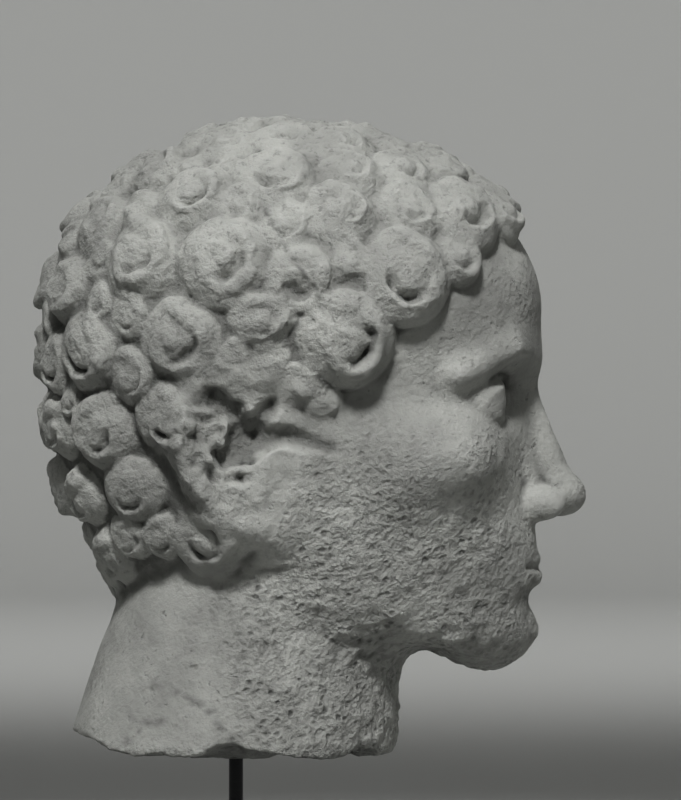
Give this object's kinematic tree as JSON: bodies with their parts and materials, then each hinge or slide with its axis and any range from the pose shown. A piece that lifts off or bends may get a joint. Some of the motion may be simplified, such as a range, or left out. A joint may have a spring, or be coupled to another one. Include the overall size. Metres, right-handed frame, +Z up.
{
  "type": "carved stone head on a rod and foot",
  "caption": "Life-size carved stone head of a youth with snail-shell curls, broken at the neck, held up by a thin metal rod on a square foot.",
  "frame": {"origin": "middle of the foot's underside, on the rod's axis", "axes": "+Z up, the face looks along -Y, the head's own right side is at -X"},
  "size_m": [0.1714, 0.2321, 0.3295],
  "materials": {
    "stone": "weathered matt stone, pitted on the cheek and jaw",
    "black_metal": "satin black"
  },
  "bodies": {
    "root": {"head": "stone", "support_rod": "black_metal", "support_foot": "black_metal"}
  },
  "joints": []
}
